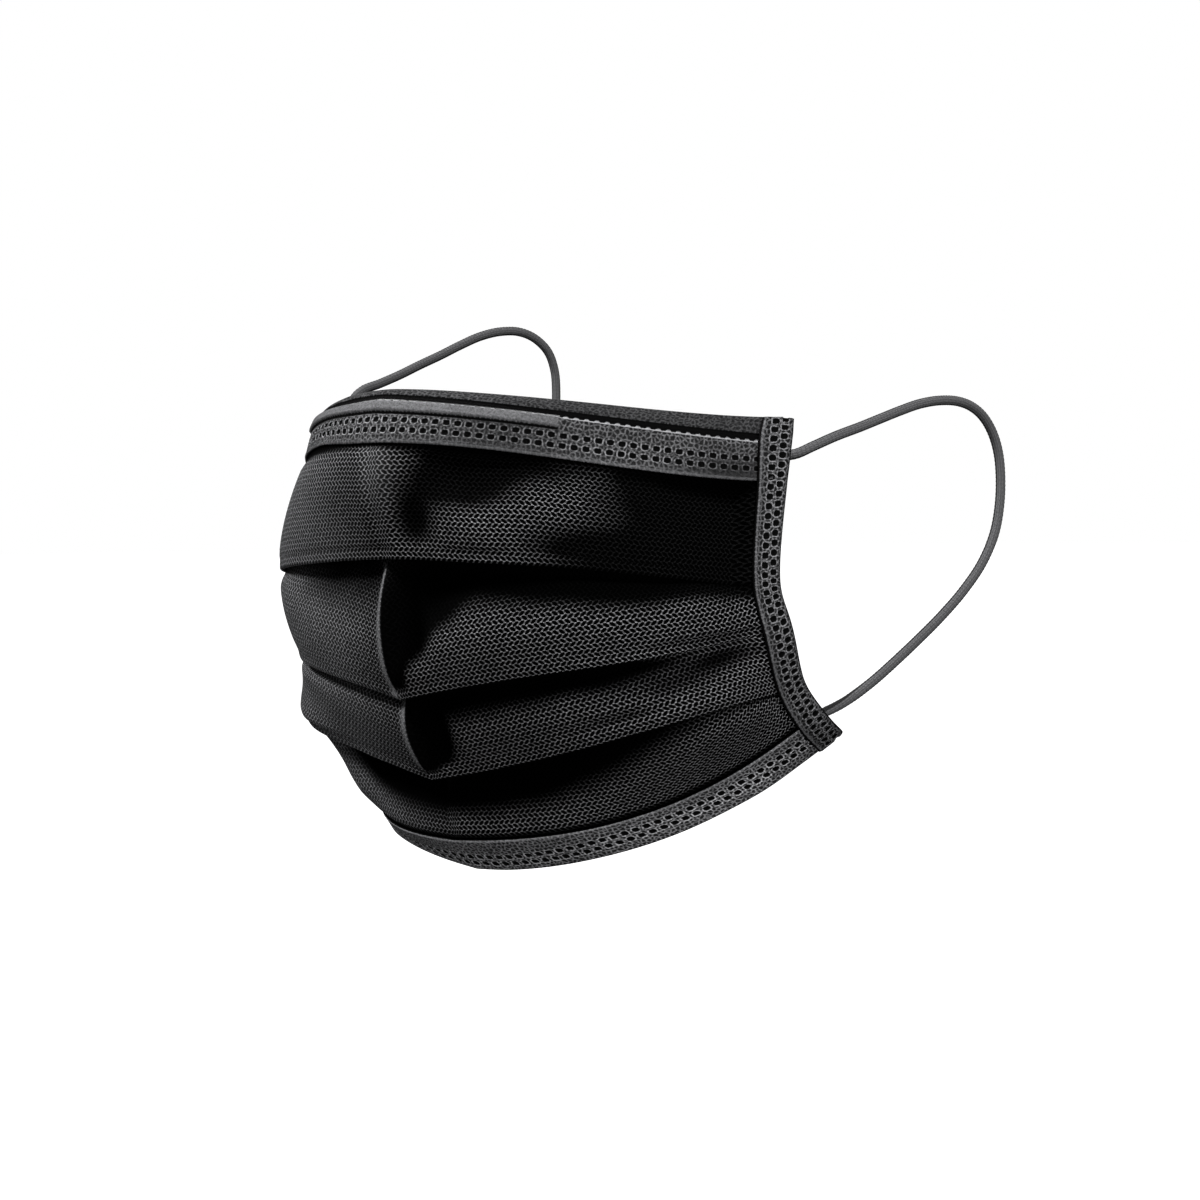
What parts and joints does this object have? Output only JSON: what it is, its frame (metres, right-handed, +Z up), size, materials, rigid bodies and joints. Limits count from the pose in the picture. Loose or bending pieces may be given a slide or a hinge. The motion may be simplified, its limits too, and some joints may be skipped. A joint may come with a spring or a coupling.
{
  "type": "pleated ear-loop face mask",
  "caption": "Black pleated disposable face mask in its worn shape, with welded hems, a nose wire in the top hem and an elastic ear loop on each side.",
  "frame": {"origin": "the seat on the bridge of the nose, at the centre of the mask's top edge", "axes": "+Z up, -Y to the front of the face, +X to the wearer's left"},
  "size_m": [0.1331, 0.125, 0.1157],
  "materials": {
    "body_fabric": "matte nonwoven with a fine embossed mesh",
    "hem_fabric": "matte nonwoven with welded dots",
    "elastic": "matte knitted elastic",
    "wire": "matte"
  },
  "bodies": {
    "root": {"filter_panel": "body_fabric", "top_binding": "hem_fabric", "bottom_binding": "hem_fabric", "nose_wire": "wire", "side_edging_left": "hem_fabric", "side_edging_right": "hem_fabric", "ear_loop_left": "elastic", "ear_loop_right": "elastic"}
  },
  "joints": []
}
